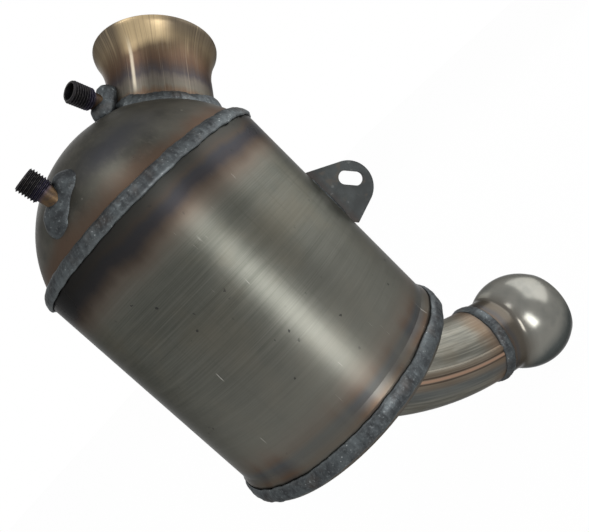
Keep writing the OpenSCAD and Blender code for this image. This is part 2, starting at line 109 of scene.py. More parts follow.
def ridgeHeight(x, y):
    p = radians(neck["ridgePitch"])
    r = neck["ridgeRadius"]
    return neck["ridge"] + (sqrt(r * r - y * y) + x * sin(p) - r) / cos(p)


def domeHeight(x, y):
    offset = dome["z"] + neck["drop"]
    a = radians(neck["lean"])
    return offset * cos(a) + sqrt(dome["radius"] ** 2 - (x + offset * sin(a)) ** 2 - y * y)


# Shader maths: a wire is one value in a finish, so masks are written as plain sums.


class Wire:
    def __init__(self, finish, socket):
        self.finish, self.socket = finish, socket

    def maths(self, how, first, second=0.0):
        return self.finish.node("Math", {"operation": how}, {0: first, 1: second})

    def __abs__(self):
        return self.maths("ABSOLUTE", self)

    def most(self, other):
        return self.maths("MAXIMUM", self, other)


for sign, how in {"add": "ADD", "sub": "SUBTRACT", "mul": "MULTIPLY", "truediv": "DIVIDE", "pow": "POWER"}.items():
    setattr(Wire, f"__{sign}__", lambda self, other, how=how: self.maths(how, self, other))
    setattr(Wire, f"__r{sign}__", lambda self, other, how=how: self.maths(how, other, self))


def tint(r, g, b):  # a colour as a screen shows it, 0 to 255
    def plain(c):
        c /= 255
        return c / 12.92 if c <= 0.04045 else ((c + 0.055) / 1.055) ** 2.4
    return (plain(r), plain(g), plain(b), 1)


class Board:  # one tree of shader nodes
    def __init__(self, tree):
        self.tree = tree
        tree.nodes.clear()

    def node(self, kind, settings=None, sockets=None, out=0):
        made = self.tree.nodes.new("ShaderNode" + kind)
        for key, value in (settings or {}).items():
            if key == "stops":
                ramp = made.color_ramp.elements
                ramp.remove(ramp[-1])
                ramp[0].position, ramp[0].color = value[0]
                for at, colour in value[1:]:
                    ramp.new(at).color = colour
            else:
                setattr(made, key, value)
        for key, value in (sockets or {}).items():
            if isinstance(value, Wire):
                self.tree.links.new(value.socket, made.inputs[key])
            else:
                made.inputs[key].default_value = value
        return Wire(self, made.outputs[out]) if made.outputs else made


class Finish(Board):
    def __init__(self, name):
        self.material = bpy.data.materials.new(name)
        self.material.use_nodes = True
        super().__init__(self.material.node_tree)
        where = self.node("TexCoord", out="Object")
        self.place = self.node("VectorMath", {"operation": "MULTIPLY_ADD"},
                               {0: where, 1: (1 / mm,) * 3, 2: tuple(seat)})  # mm in the drawing's frame

    def along(self, direction, start=(0, 0, 0)):  # distance from start along a direction, mm
        d = Vector(direction)
        return self.node("VectorMath", {"operation": "DOT_PRODUCT"},
                         {0: self.place, 1: tuple(d)}, out="Value") - d.dot(Vector(start))

    def noise(self, size, stretch=(1, 1, 1), detail=3.0, roughness=0.5, shift=0.0):
        scaled = self.node("VectorMath", {"operation": "MULTIPLY_ADD"},
                           {0: self.place, 1: tuple(c / size for c in stretch), 2: (shift, shift, shift)})
        return self.node("TexNoise", None,
                         {"Vector": scaled, "Scale": 1.0, "Detail": detail, "Roughness": roughness})

    def grain(self, first, second, third, size, detail=2.0):  # noise over three values instead of the place
        joined = self.node("CombineXYZ", None, {0: first, 1: second, 2: third})
        return self.node("TexNoise", None,
                         {"Vector": joined, "Scale": 1.0 / size, "Detail": detail, "Roughness": 0.55})

    def specks(self, size, share, soft=0.12, ragged=0.0):  # small spots, 1 in the spot
        scaled = self.node("VectorMath", {"operation": "SCALE"},
                           {0: self.place, "Scale": 1.0 / size})
        near = self.node("TexVoronoi", None, {"Vector": scaled, "Scale": 1.0}, out="Distance")
        if ragged:
            near = near + (self.noise(size * 0.13, (1, 1, 0.6), shift=21.0) - 0.5) * ragged
        return 1 - self.step(near, share, share + soft)

    def step(self, value, low, high):  # smooth 0 to 1 between low and high
        return self.node("MapRange", {"interpolation_type": "SMOOTHSTEP"},
                         {"Value": value, "From Min": low, "From Max": high})

    def band(self, value, low, high, soft):  # 1 between low and high
        return self.step(value, low - soft, low + soft) * (1 - self.step(value, high - soft, high + soft))

    def ramp(self, value, stops):
        return self.node("ValToRGB", {"stops": stops}, {0: value})

    def blend(self, share, under, over, how="MIX"):
        return self.node("Mix", {"data_type": "RGBA", "blend_type": how, "clamp_factor": True},
                         {0: share, 6: under, 7: over}, out=2)

    def lay(self, share, tone):  # a tone over what is there so far
        self.colour = self.blend(share, self.colour, tone)

    def bump(self, height, depth, strength=1.0):
        return self.node("Bump", None,
                         {"Height": height, "Distance": depth * mm, "Strength": strength})

    def done(self, **sockets):
        names = {"metal": "Metallic", "roughness": "Roughness", "normal": "Normal", "edge": "Specular Tint",
                 "gloss": "Specular IOR Level"}
        shader = self.node("BsdfPrincipled", None, {
            "Base Color": self.colour, **{names[key]: value for key, value in sockets.items()}})
        self.node("OutputMaterial", None, {0: shader})
        return self.material


# Finishes

dullEdge = (0.35, 0.35, 0.35, 1)  # how much a sheet brightens where it turns away
shellTone = {"steel": tint(73, 74, 68), "light": tint(88, 88, 82), "dark": tint(59, 60, 55),
             "inlet": [(0.0, tint(46, 47, 45)), (0.1, tint(53, 51, 48)), (0.17, tint(58, 52, 47)),
                       (0.26, tint(45, 45, 49)), (0.36, tint(45, 43, 46)), (0.48, tint(68, 59, 52)),
                       (0.62, tint(84, 76, 68)), (0.85, tint(86, 83, 76)), (1.0, tint(82, 82, 75))],
             "outlet": [(0.0, tint(50, 49, 48)), (0.1, tint(73, 59, 48)), (0.2, tint(66, 63, 61)),
                        (0.32, tint(64, 66, 68)), (0.44, tint(84, 72, 63)), (0.6, tint(95, 87, 79)),
                        (0.8, tint(92, 87, 80)), (1.0, tint(82, 82, 75))],
             # soot: real soot by the inlet weld, also used as painted shade on the canister's west side
             "soot": tint(27, 26, 25), "worn": tint(112, 111, 104), "inletSpan": 36, "outletSpan": 32}


def brushedShell():
    f = Finish("brushedShell")
    z = f.along((0, 0, 1))
    brush = f.noise(1.0, (0.012, 0.012, 1.6), 4.0, 0.6)  # fine rings from the brushing
    coarse = f.noise(1.0, (0.03, 0.03, 0.22), 3.0, 0.55, 7.0)
    cloud = f.noise(38, detail=4.0, roughness=0.6)
    smear = f.noise(1.0, (0.35, 0.35, 0.012), 3.0, 0.5, 3.0)  # faint smears along the canister
    f.colour = f.blend(f.step(brush * 0.6 + coarse * 0.4, 0.3, 0.7), shellTone["dark"], shellTone["light"])
    f.lay(0.4, shellTone["steel"])
    f.lay(f.step(cloud, 0.42, 0.72) * 0.45, tint(86, 82, 71))
    f.lay(f.step(smear, 0.55, 0.75) * 0.3, tint(64, 64, 58))
    f.lay(f.step(z * -1 + cloud * 30, 70, 165) * 0.45, shellTone["worn"])
    wander = f.noise(16, (1, 1, 0.4), 3.0, 0.6, 5.0) * 7 + f.noise(48, shift=8.0) * 10 - 8.5
    inletRamp = f.ramp((z * -1 - 4 + wander) / shellTone["inletSpan"], shellTone["inlet"])
    f.lay((1 - f.step(z * -1 + wander, 22, 42)) * 0.92, inletRamp)
    # Soot by the inlet weld and painted shade: the very dark tone is laid only on the west side, where it stands
    # in for shade.
    west = f.along((-0.87, 0.49, 0))
    sootAndShadeWest = (1 - f.step(z * -1 + wander, 8, 34)) * f.step(west, -30, 52)
    f.lay(sootAndShadeWest * 0.95, shellTone["soot"])
    outletRamp = f.ramp((z - canister["end"] - 7 + wander * 0.35) / shellTone["outletSpan"], shellTone["outlet"])
    patchy = 0.45 + 0.5 * f.step(f.noise(30, (1, 1, 0.3), shift=14.0), 0.4, 0.62)
    f.lay((1 - f.step(z - canister["end"] + wander, 20, 42)) * patchy, outletRamp)
    slant = f.noise(1.0, (0.9, 0.25, 0.06), 2.0, 0.4, 11.0)
    scratch = f.step(slant, 0.735, 0.775) * f.step(f.noise(30, shift=2.0), 0.5, 0.62)
    nick = f.specks(8, 0.07, 0.04, 0.45) * f.step(f.noise(26, shift=9.0), 0.5, 0.6)
    f.lay(scratch * 0.6, tint(176, 174, 166))
    f.lay(nick * 0.8, tint(38, 38, 38))
    height = brush * 0.5 + coarse * 0.2 - nick * 0.6 + scratch * 0.15
    return f.done(metal=0.86, normal=f.bump(height, 0.035, 0.5), edge=dullEdge,
                  roughness=0.23 + cloud * 0.12 + brush * 0.08)


coneTone = {"steel": tint(73, 72, 66), "brown": tint(77, 62, 51), "blue": tint(56, 57, 61),
            "soot": tint(57, 56, 52), "pale": tint(90, 88, 81), "copper": tint(98, 75, 59)}


def tintedCone():
    f = Finish("tintedCone")
    z = f.along((0, 0, 1))
    east = f.along((1, 0, 0))
    wander = f.noise(22, detail=4.0, roughness=0.6) * 14 - 7
    cloud = f.noise(24, detail=5.0, roughness=0.62, shift=4.0)
    draw = f.noise(1.0, (0.5, 0.5, 0.08), 3.0, 0.55)  # draw marks of the press
    f.colour = f.blend(f.step(cloud, 0.35, 0.68), coneTone["steel"], coneTone["soot"])
    f.lay(f.step(f.noise(36, shift=12.0), 0.48, 0.64) * 0.5, coneTone["pale"])
    f.lay(f.step(draw, 0.5, 0.72) * 0.3, tint(90, 86, 78))
    blue = f.band(z + wander, 20, 33, 6) * f.band(f.along((0.87, -0.49, 0)), -4, 36, 16) * 0.8
    f.lay(blue, coneTone["blue"])
    f.lay((1 - f.step(z + wander, 4, 16)) * 0.9, coneTone["brown"])
    up = f.along(neckAxis, neckFoot)
    warm = f.step(up + wander * 0.6, 68, 81) * (0.2 + 0.5 * f.step(east, -10, 60))
    f.lay(warm, coneTone["copper"])
    spatter = f.specks(5.2, 0.1, 0.05) * f.step(f.noise(30, shift=6.0), 0.68, 0.74)
    f.lay(spatter * 0.6, tint(140, 138, 130))
    pits = f.specks(3.1, 0.09, 0.06) * f.step(cloud, 0.5, 0.62)
    f.lay(pits * 0.5, tint(44, 42, 40))
    fine = f.noise(0.8, detail=2.0)
    height = spatter * 1.2 - pits * 0.5 + fine * 0.18 + draw * 0.3
    return f.done(metal=0.8, roughness=0.36 + cloud * 0.14,
                  normal=f.bump(height, 0.1, 0.5), edge=dullEdge)


# gold is a painted reflection on the flare; the clock angle is where the painted highlight streak runs up the neck
neckTone = {"gold": tint(186, 165, 129), "pale": tint(186, 168, 136), "highlightClock": 40.5,
            "heatFrom": 80, "heatSpan": 50,
            "heat": [(0.0, tint(80, 66, 54)), (0.08, tint(86, 82, 74)), (0.18, tint(84, 79, 73)),
                     (0.27, tint(61, 57, 58)), (0.35, tint(64, 55, 51)), (0.45, tint(77, 61, 50)),
                     (0.57, tint(89, 73, 58)), (0.74, tint(108, 95, 76)), (0.92, tint(95, 86, 73))]}


def tintedNeck():
    f = Finish("tintedNeck")
    up = f.along(neckAxis, neckFoot)
    x = f.along(neckAcross, neckFoot)
    y = f.along((0, 1, 0))
    reach = (x * x + y * y) ** 0.5
    roundX, roundY = x / reach * neck["radius"], y / reach * neck["radius"]
    cloud = f.noise(18, detail=4.0, roughness=0.6)
    streak = f.grain(roundX, roundY, up * 0.04, 3.4, 3.0)  # axial streaks from the drawn bell
    fine = f.grain(roundX, roundY, up * 0.02, 0.9, 2.0)
    wave = up + cloud * 8 - 4 + streak * 7 - 3.5
    f.colour = f.ramp((wave - neckTone["heatFrom"]) / neckTone["heatSpan"], neckTone["heat"])
    turn = radians(neckTone["highlightClock"])
    across = x * cos(turn) - y * sin(turn)  # mm sideways from the painted highlight streak
    facing = f.step(x * -sin(turn) - y * cos(turn), 6, 20)
    # painted reflection: a pale gold patch on the flare, where a window would be mirrored
    paintedReflection = f.band(across + streak * 3, -2, 25, 6) * f.step(up - across * 0.2 + streak * 3, 108, 115) * facing
    f.lay(paintedReflection * 0.85, neckTone["gold"])
    # pale axial streaks on the flare: partly drawing marks, partly painted reflection brightening the flare
    f.lay(f.step(streak, 0.56, 0.72) * f.step(up, 104, 120) * 0.3, neckTone["pale"])
    f.lay(f.step(fine, 0.54, 0.74) * 0.3, tint(128, 118, 104))
    f.lay(f.step(0.48 - fine, 0.0, 0.14) * 0.3, tint(60, 52, 47))
    # painted highlight: a narrow pale streak up the neck, where a lamp's reflection runs
    run = f.band(across + streak * 1.6 - 0.8, -1.0, 0.9, 0.8) * facing * f.band(up, 84, 116, 5)
    f.lay(run * 0.5, tint(190, 180, 160))
    return f.done(metal=0.85, roughness=0.28 + cloud * 0.12 + fine * 0.08,
                  normal=f.bump(fine + streak * 0.6, 0.05, 0.5), edge=dullEdge)


tubeTone = {"steel": tint(100, 99, 92), "light": tint(130, 128, 119), "dark": tint(74, 74, 69),
            # edge: painted shade along the seam's step
            "brown": tint(100, 80, 62), "copper": tint(150, 121, 102), "edge": tint(56, 45, 39),
            "blue": tint(70, 75, 77), "seamAt": 4.5}


def outletTube():
    f = Finish("outletTube")
    out = f.along(outletOut, bendCentre)
    z = f.along((0, 0, 1), bendCentre)
    side = f.along(outletSide)
    reach = (out * out + z * z) ** 0.5 - outlet["bendRadius"]
    turn = f.node("Math", {"operation": "ARCTAN2"}, {0: z, 1: out}) * outlet["bendRadius"]
    lengthwise = f.grain(reach, side, turn * 0.04, 1.5, 3.0)  # drawing marks along the pipe
    cloud = f.noise(20, detail=4.0, roughness=0.6)
    f.colour = f.blend(f.step(lengthwise, 0.34, 0.68), tubeTone["dark"], tubeTone["light"])
    f.lay(0.45, tubeTone["steel"])
    f.lay(f.step(cloud, 0.45, 0.7) * 0.45, tint(92, 86, 74))
    ahead = f.along(endAxis, pipeEnd)
    f.lay(f.step(ahead + cloud * 10 - 5, -22, -5) * 0.65, tubeTone["brown"])
    f.lay(f.step(ahead + cloud * 4 - 2, -8, -3) * 0.6, tint(68, 64, 62))
    seam = abs(reach - tubeTone["seamAt"]) + lengthwise * 0.8 - 0.4
    viewer = f.step(side, 12, 20)
    f.lay(f.band(reach, 9, 17, 3) * viewer * 0.6, tubeTone["blue"])
    f.lay((1 - f.step(seam, 4.0, 8.0)) * viewer * 0.5, tint(104, 88, 72))
    # painted shade: a dark line along the seam's step, where the groove lies in shadow
    f.lay(f.band(seam, 1.3, 2.3, 0.4) * viewer * 0.8, tubeTone["edge"])
    f.lay((1 - f.step(seam, 0.5, 1.3)) * viewer * 0.8, tubeTone["copper"])
    height = lengthwise - 0.5 * f.band(seam, 1.2, 2.2, 0.5) * viewer
    return f.done(metal=0.85, roughness=0.26 + cloud * 0.12 + lengthwise * 0.1,
                  normal=f.bump(height, 0.07, 0.5), edge=dullEdge)


ballTone = {"steel": tint(120, 119, 113), "gold": tint(62, 54, 45), "blue": tint(60, 61, 65),
            # under: painted shade for the ball's underside
            "dark": tint(94, 96, 93), "under": tint(66, 71, 71), "middle": 39.6}


def ballFinish():
    f = Finish("ballFinish")
    ahead = f.along(endAxis, pipeEnd)
    cloud = f.noise(16, detail=4.0, roughness=0.6)
    ring = f.grain(ahead, 0.0, 0.0, 0.7, 2.0)  # turning marks round the ball
    swirl = f.noise(10, detail=3.0, shift=5.0)
    f.colour = f.blend(f.step(cloud, 0.4, 0.72) * 0.55, ballTone["steel"], ballTone["dark"])
    f.lay(f.step(ring, 0.5, 0.7) * 0.2, tint(156, 154, 147))
    # painted shade: a darker band round the ball's underside, which faces the floor
    under = f.along((0.1, -0.2, -0.97), pipeEnd + endAxis * ballTone["middle"])
    f.lay(f.band(under + cloud * 8 - 4, 14, 30, 6) * 0.85, ballTone["under"])
    wave = ahead + cloud * 6 - 3
    f.lay((1 - f.step(wave, 13, 25)) * 0.8, ballTone["gold"])
    f.lay(f.band(wave, 5, 9, 2) * 0.55, ballTone["blue"])
    f.lay((1 - f.step(wave, 4, 7)) * 0.8, tint(72, 62, 54))
    return f.done(metal=0.9, roughness=0.15 + cloud * 0.1 + swirl * 0.06,
                  normal=f.bump(ring * 0.4 + cloud, 0.04, 0.4), edge=dullEdge)


weldTone = {"grey": tint(77, 82, 84), "dark": tint(48, 50, 52), "pale": tint(112, 117, 118),
            "brown": tint(70, 62, 56)}


def weldMetal():
    f = Finish("weldMetal")
    cloud = f.noise(9, detail=5.0, roughness=0.65)
    fine = f.noise(1.3, detail=3.0, roughness=0.6)
    f.colour = f.blend(f.step(cloud, 0.34, 0.66), weldTone["dark"], weldTone["grey"])
    f.lay(f.step(f.noise(14, shift=8.0), 0.52, 0.7) * 0.4, weldTone["brown"])
    f.lay(f.step(fine, 0.54, 0.7) * 0.45, weldTone["pale"])
    f.lay(f.step(f.noise(2.6, detail=3.0, shift=3.0), 0.55, 0.7) * 0.5, weldTone["dark"])
    ridge = f.node("NewGeometry", out="Pointiness")
    # painted highlight on the ripples' crests and painted shade in their hollows, both from pointiness
    f.lay(f.step(ridge, 0.505, 0.56) * 0.3, weldTone["pale"])
    f.lay((1 - f.step(ridge, 0.44, 0.497)) * 0.5, tint(34, 33, 34))
    bright = f.specks(2.3, 0.12, 0.08) * f.step(cloud, 0.5, 0.6)
    f.lay(bright * 0.6, tint(168, 172, 172))
    return f.done(metal=0.75, roughness=0.36 + fine * 0.2,
                  normal=f.bump(fine + bright * 0.6, 0.12, 0.6), edge=dullEdge)


stubTone = {"black": tint(36, 35, 38), "violet": tint(50, 46, 66), "gold": tint(86, 68, 47),
            "worn": tint(92, 90, 87)}


def darkStub(name, start, axis, threadFrom):
    f = Finish(name)
    up = f.along(axis, start)
    cloud = f.noise(5, detail=4.0, roughness=0.6)
    fine = f.noise(0.7, detail=2.0)
    f.colour = f.blend(f.step(cloud, 0.4, 0.65) * 0.6, stubTone["black"], tint(48, 45, 44))
    shank = 1 - f.step(up + cloud * 3 - 1.5, threadFrom - 1.5, threadFrom + 1)
    f.lay(shank * 0.8, stubTone["gold"])
    f.lay(f.step(0.5 - cloud, 0.0, 0.12) * shank * 0.6, tint(52, 46, 44))
    tinted = f.band(up + cloud * 3 - 1.5, threadFrom - 1, threadFrom + 3.5, 1.5)
    f.lay(tinted * 0.65, stubTone["violet"])
    ridge = f.node("NewGeometry", out="Pointiness")
    f.lay(f.step(ridge, 0.52, 0.6) * 0.5, stubTone["worn"])
    return f.done(metal=0.7, roughness=0.34 + fine * 0.2,
                  normal=f.bump(fine, 0.05, 0.5), edge=dullEdge)


def darkBracket():
    f = Finish("darkBracket")
    cloud = f.noise(14, detail=5.0, roughness=0.62)
    fine = f.noise(0.9, (1, 1, 0.3), 3.0, 0.6)
    f.colour = f.blend(f.step(cloud, 0.36, 0.68), tint(54, 56, 56), tint(68, 71, 71))
    f.lay(f.step(f.noise(7, shift=3.0), 0.56, 0.7) * 0.4, tint(84, 76, 67))
    inward = (f.along((1, 0, 0)) ** 2 + f.along((0, 1, 0)) ** 2) ** 0.5 - canister["radius"]
    # painted shade: darker where the plate meets the canister
    f.lay((1 - f.step(inward + cloud * 5, 3, 10)) * 0.7, tint(60, 53, 50))
    rub = f.specks(6.5, 0.11, 0.1) * f.step(cloud, 0.5, 0.6)
    f.lay(rub * 0.4, tint(110, 112, 110))
    return f.done(metal=0.5, roughness=0.5 + cloud * 0.14,
                  normal=f.bump(fine + cloud, 0.06, 0.6), gloss=0.25, edge=dullEdge)


def ceramicBlock():
    f = Finish("ceramicBlock")
    cloud = f.noise(12, detail=5.0, roughness=0.65)
    fine = f.noise(0.35, detail=3.0, roughness=0.7)
    f.colour = f.blend(f.step(cloud, 0.3, 0.7), tint(58, 58, 60), tint(84, 84, 84))
    top = f.step(f.along((0, 0, 1)) + cloud * 20, -40, -8)
    f.lay(top * 0.5, tint(42, 41, 40))  # soot near the inlet face
    return f.done(metal=0.0, roughness=0.86, normal=f.bump(fine, 0.08, 0.8), gloss=0.3)


def plainFibre(name, pale, deep, stretch, size, roughness=0.9, metal=0.0):
    f = Finish(name)
    strand = f.noise(size, stretch, 4.0, 0.65)
    cloud = f.noise(size * 9, detail=3.0)
    f.colour = f.blend(f.step(strand, 0.36, 0.66), deep, pale)
    f.lay(f.step(cloud, 0.5, 0.7) * 0.4, deep)
    return f.done(metal=metal, roughness=roughness, normal=f.bump(strand, 0.3, 0.8))


def coverFinish():
    f = Finish("coverFinish")
    x, y = f.along((1, 0, 0)), f.along((0, 1, 0))
    reach = (x * x + y * y) ** 0.5
    cloud = f.noise(26, detail=5.0, roughness=0.62)
    ring = f.grain(reach, 0.0, 0.0, 1.1, 3.0)  # spinning marks round the dish
    f.colour = f.blend(f.step(ring, 0.34, 0.68), tint(82, 81, 75), tint(108, 107, 100))
    f.lay(f.step(cloud, 0.42, 0.7) * 0.55, tint(80, 75, 65))
    axis = f.along(outletOut)
    across = f.along(outletSide)
    fromPipe = (((axis - 28) * 0.74) ** 2 + across ** 2) ** 0.5 - outlet["pipeRadius"] + cloud * 8 - 4
    f.lay((1 - f.step(fromPipe, 6, 17)) * 0.7, tint(104, 82, 62))
    f.lay((1 - f.step(fromPipe, 3, 8)) * 0.6, tint(70, 72, 80))
    f.lay(f.step(reach + cloud * 8, 74, 84) * 0.5, tint(84, 76, 70))
    return f.done(metal=0.86, roughness=0.3 + cloud * 0.14,
                  normal=f.bump(ring + cloud, 0.06, 0.5), edge=dullEdge)


finishes = {"shell": brushedShell(), "cone": tintedCone(), "neck": tintedNeck(), "tube": outletTube(),
            "ball": ballFinish(), "weld": weldMetal(), "bracket": darkBracket(), "ceramic": ceramicBlock(),
            "cover": coverFinish(),
            "cement": plainFibre("cementJoint", tint(122, 121, 116), tint(92, 91, 87), (1, 1, 1), 1.4),
            "mat": plainFibre("fibreMat", tint(214, 211, 200), tint(172, 168, 156), (0.4, 0.4, 2), 1.2),
            "wire": plainFibre("wireKnit", tint(150, 149, 144), tint(60, 60, 58), (1, 1, 2.4), 0.9, 0.4, 0.7)}
print("finishes mixed:", len(finishes))


# Mesh helpers


def addPiece(name, points, faces, finish, stands, sharp=None):
    mesh = bpy.data.meshes.new(name)
    mesh.from_pydata([toFrame(p) for p in points], [], faces)
    mesh.validate()
    return dress(bpy.data.objects.new(name, mesh), finish, stands, sharp)


def dress(piece, finish, stands, sharp=None):
    bm = bmesh.new()
    bm.from_mesh(piece.data)
    bmesh.ops.recalc_face_normals(bm, faces=bm.faces)
    bm.to_mesh(piece.data)
    bm.free()
    piece.data.polygons.foreach_set("use_smooth", [True] * len(piece.data.polygons))
    if sharp:
        piece.data.set_sharp_from_angle(angle=radians(sharp))
    piece.data.materials.clear()
    piece.data.materials.append(finish)
    bpy.context.scene.collection.objects.link(piece)
    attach(piece, "root")
    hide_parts(stands)
    return piece


def grid(rows, columns, closeRows, closeColumns):
    faces = []
    for i in range(rows if closeRows else rows - 1):
        for j in range(columns if closeColumns else columns - 1):
            a, b = i * columns, (i + 1) % rows * columns
            k = (j + 1) % columns
            faces.append((a + j, b + j, b + k, a + k))
    return faces


def spun(rows, origin, axis, across, segments):  # rows: (radius or function of the turn, height), a closed loop
    across = (across - axis * across.dot(axis)).normalized()
    side = axis.cross(across)
    points = []
    for r, h in rows:
        for j in range(segments):
            a = 2 * pi * j / segments
            reach = r(a) if callable(r) else r
            points.append(origin + axis * h + (across * cos(a) + side * sin(a)) * reach)
    return points, grid(len(rows), segments, True, True)


def stretch(first, last, count):  # values between two ends, both left out
    return [mix(first, last, i / (count + 1)) for i in range(1, count + 1)]


# Inlet cone: the dome drawn up to the neck, taken from a dense hull so that its blend is smooth

cone = {"columns": 220, "rows": 58, "unevenness": 0.14, "waves": 26, "edge": 34.4, "hullRows": 64,
        "hullColumns": 200, "hullStep": 1.8, "ridgePoints": 360, "farOut": 300, "under": (0.0, -3.8)}


def coneHull():
    points = []
    lowest = degrees(acos((dome["base"] - dome["z"]) / dome["radius"]))
    for i in range(cone["hullRows"]):
        lean = mix(0, lowest, i / (cone["hullRows"] - 1))
        for j in range(cone["hullColumns"] if i else 1):
            points.append(domeMiddle + polar(j * cone["hullStep"], lean) * dome["radius"])
    for j in range(cone["ridgePoints"]):
        x, y = (neck["ridgeEdge"] * c for c in (cos(radians(j)), sin(radians(j))))
        points.append(neckPoint(x, y, ridgeHeight(x, y)))
    bm = bmesh.new()
    for p in points:
        bm.verts.new(p)
    bmesh.ops.convex_hull(bm, input=bm.verts)
    loose = [v for v in bm.verts if not v.link_faces]
    bmesh.ops.delete(bm, geom=loose, context="VERTS")
    bmesh.ops.triangulate(bm, faces=bm.faces)
    tree = BVHTree.FromBMesh(bm)
    bm.free()
    return tree


hull = coneHull()


def ontoCone(p):
    way = (p - domeMiddle).normalized()
    hit, normal, _, _ = hull.ray_cast(domeMiddle + way * cone["farOut"], -way)
    if hit is None:  # at the very edge of the hull
        return p, way
    return hit, (normal if normal.dot(way) > 0 else -normal)


def neckRing(turn, r):  # where a circle round the neck meets the cone
    x, y = r * cos(turn), r * sin(turn)
    return neckPoint(x, y, max(ridgeHeight(x, y), domeHeight(x, y)))


def makeCone():
    columns, rows = cone["columns"], cone["rows"]
    points = []
    baseRadius = sqrt(dome["radius"] ** 2 - (dome["base"] - dome["z"]) ** 2)
    for i in range(rows):
        for j in range(columns):
            a = 2 * pi * j / columns
            base = Vector((baseRadius * cos(a), baseRadius * sin(a), dome["base"]))
            hit, normal = ontoCone(mix(neckRing(a, cone["edge"]), base, i / (rows - 1)))
            fade = min(1, 4 * i / rows, 4 * (1 - i / rows))
            points.append(hit + normal * cone["unevenness"] * fade * rough(hit, cone["waves"]))
    levels = (*cone["under"], dome["skirtTop"], dome["skirtEnd"])
    for z in levels:
        r = dome["skirtRadius"]
        if z > dome["skirtTop"]:
            r = sqrt(dome["radius"] ** 2 - (z - dome["z"]) ** 2)
        for j in range(columns):
            a = 2 * pi * j / columns
            points.append(Vector((r * cos(a), r * sin(a), z)))
    piece = addPiece("inletCone", points, grid(rows + len(levels), columns, False, True), finishes["cone"],
                     "inlet_cone")
    wall = piece.modifiers.new("sheet", "SOLIDIFY")
    wall.thickness, wall.offset = sheet * mm, -1
    return piece


makeCone()
print("inlet cone drawn")


# Inlet bell and outlet ball, both spun

bell = {"rim": 41.0, "lip": 8.0, "lipEnd": -6, "arc": 43.327, "turn": 29.15, "segments": 200, "ovality": 0.25,
        "waves": 2.2, "wavesRound": 3, "waveHeight": 14, "wallRows": 10, "flareRows": 22, "lipRows": 10,
        "edgeRows": 8, "sharp": 50}


def makeBell():
    def side(inset):
        lower = [(neck["radius"] - inset, neck["foot"])]
        lower += [(neck["radius"] - inset, h) for h in stretch(neck["foot"], neck["bore"], bell["wallRows"])]
        flare = arc((neck["radius"] + bell["arc"], neck["bore"]), bell["arc"] + inset,
                    180, 180 - bell["turn"], bell["flareRows"])
        lip = arc((bell["rim"] - bell["lip"], neck["rim"]), bell["lip"] - inset,
                  -bell["turn"], bell["lipEnd"], bell["lipRows"])
        return lower + flare + lip[1:]
    edge = arc((bell["rim"] - sheet / 2, neck["rim"] - sheet / 2), sheet / 2, 0, 180, bell["edgeRows"])
    rows = side(0) + edge + side(sheet)[::-1]

    def uneven(r, h):
        far = bell["wavesRound"]
        return lambda a: r + bell["ovality"] * rough((far * cos(a), far * sin(a), h / bell["waveHeight"]),
                                                     bell["waves"])
    points, faces = spun([(uneven(r, h) if h > neck["bore"] else r, h) for r, h in rows], neckFoot, neckAxis,
                         neckAcross, bell["segments"])
    return addPiece("inletBell", points, faces, finishes["neck"], "inlet_bell", bell["sharp"])


ball = {"radius": 35.7, "reach": 39.6, "fillet": 8.0, "filletStart": 14.8272, "filletTurn": 34.53,
        "mouth": 60.4204, "segments": 160, "wallRows": 6, "filletRows": 12, "bulgeRows": 40, "edgeRows": 6,
        "sharp": 50}


def makeBall():
    def side(inset):
        r = outlet["pipeRadius"]
        rows = [(r - inset, 0.0)]
        rows += [(r - inset, h) for h in stretch(0, ball["filletStart"], ball["wallRows"])]
        rows += arc((r + ball["fillet"], ball["filletStart"]), ball["fillet"] + inset,
                    180, 180 - ball["filletTurn"], ball["filletRows"])
        top = degrees(asin((ball["mouth"] - ball["reach"] - sheet / 2) / (ball["radius"] - inset)))
        bulge = arc((0, ball["reach"]), ball["radius"] - inset, -ball["filletTurn"], top, ball["bulgeRows"])
        return rows + bulge[1:]
    outer, inner = side(0), side(sheet)
    middle = (outer[-1][0] + inner[-1][0]) / 2
    half = (outer[-1][0] - inner[-1][0]) / 2
    edge = arc((middle, outer[-1][1]), half, 0, 180, ball["edgeRows"])[1:-1]
    points, faces = spun(outer + edge + inner[::-1], pipeEnd, endAxis, outletSide, ball["segments"])
    return addPiece("outletBall", points, faces, finishes["ball"], "outlet_ball", ball["sharp"])


makeBell()
makeBall()
print("bell and ball spun")


# Threaded stubs

stub = {"crest": 7.0, "depth": 0.95, "pitch": 1.5, "shank": 5.25, "chamfer": 1.0, "chamferSlope": 1.2,
        "flank": 1.35, "flat": 0.12, "seat": 5.0, "seatDepth": 7.0, "seatCone": 2, "passage": 3.0, "edge": 0.3,
        "bevel": 0.25, "runOut": 0.05, "shankRows": 8, "segments": 72, "step": 0.13, "sharp": 40}
upper = {"clock": 206.5, "lift": 3.5, "start": 33.5, "side": 8, "drop": 1, "length": 28.5, "thread": 13.5}
lower = {"turn": 220, "polar": 51.5, "lean": 19, "depth": 6, "length": 25.5, "thread": 11.0}


